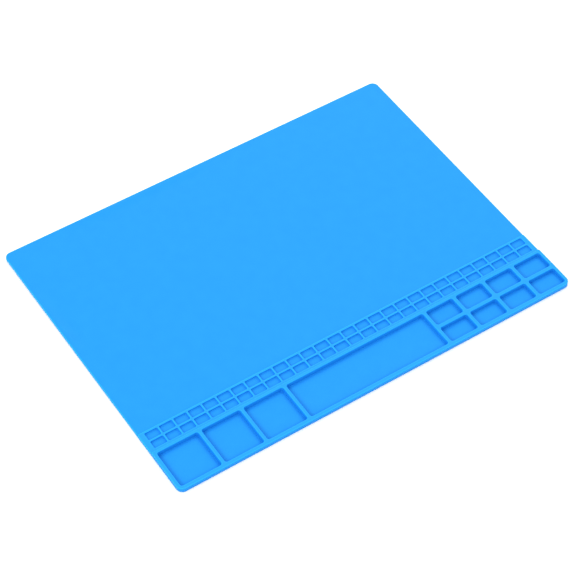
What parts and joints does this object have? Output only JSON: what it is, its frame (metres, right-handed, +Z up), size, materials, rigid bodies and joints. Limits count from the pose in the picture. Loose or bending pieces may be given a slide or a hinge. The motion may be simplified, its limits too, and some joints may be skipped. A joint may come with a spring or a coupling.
{
  "type": "silicone work mat with sorting trays",
  "caption": "Flexible flat rubber mat with a plain work surface, a strip of small cells and a raised front block of sorting trays.",
  "frame": {"origin": "middle of the mat's underside, on the surface that it lies on", "axes": "+X along the row of trays, +Y away from the trays towards the rear edge of the work surface, +Z up"},
  "size_m": [0.405, 0.305, 0.005],
  "materials": {
    "silicone": "matte, smooth moulded silicone"
  },
  "bodies": {
    "root": {"work_surface": "silicone", "tray_floor": "silicone", "tray_front_rim": "silicone", "tray_rear_rim": "silicone", "tray_left_rim": "silicone", "tray_right_rim": "silicone", "tray_divider_1": "silicone", "tray_divider_2": "silicone", "tray_divider_3": "silicone", "tray_divider_4": "silicone", "small_tray_divider_1": "silicone", "small_tray_divider_2": "silicone", "small_tray_divider_3": "silicone", "small_tray_row_divider": "silicone", "strip_front_floor": "silicone", "strip_rear_floor": "silicone", "strip_front_rail": "silicone", "strip_middle_rail": "silicone", "strip_rear_rail": "silicone", "strip_left_margin": "silicone", "strip_right_margin": "silicone", "strip_rib_01": "silicone", "strip_rib_02": "silicone", "strip_rib_03": "silicone", "strip_rib_04": "silicone", "strip_rib_05": "silicone", "strip_rib_06": "silicone", "strip_rib_07": "silicone", "strip_rib_08": "silicone", "strip_rib_09": "silicone", "strip_rib_10": "silicone", "strip_rib_11": "silicone", "strip_rib_12": "silicone", "strip_rib_13": "silicone", "strip_rib_14": "silicone", "strip_rib_15": "silicone", "strip_rib_16": "silicone", "strip_rib_17": "silicone", "strip_rib_18": "silicone", "strip_rib_19": "silicone", "strip_rib_20": "silicone", "strip_rib_21": "silicone", "strip_rib_22": "silicone", "strip_rib_23": "silicone", "strip_rib_24": "silicone", "strip_rib_25": "silicone", "strip_rib_26": "silicone", "strip_rib_27": "silicone"}
  },
  "joints": []
}
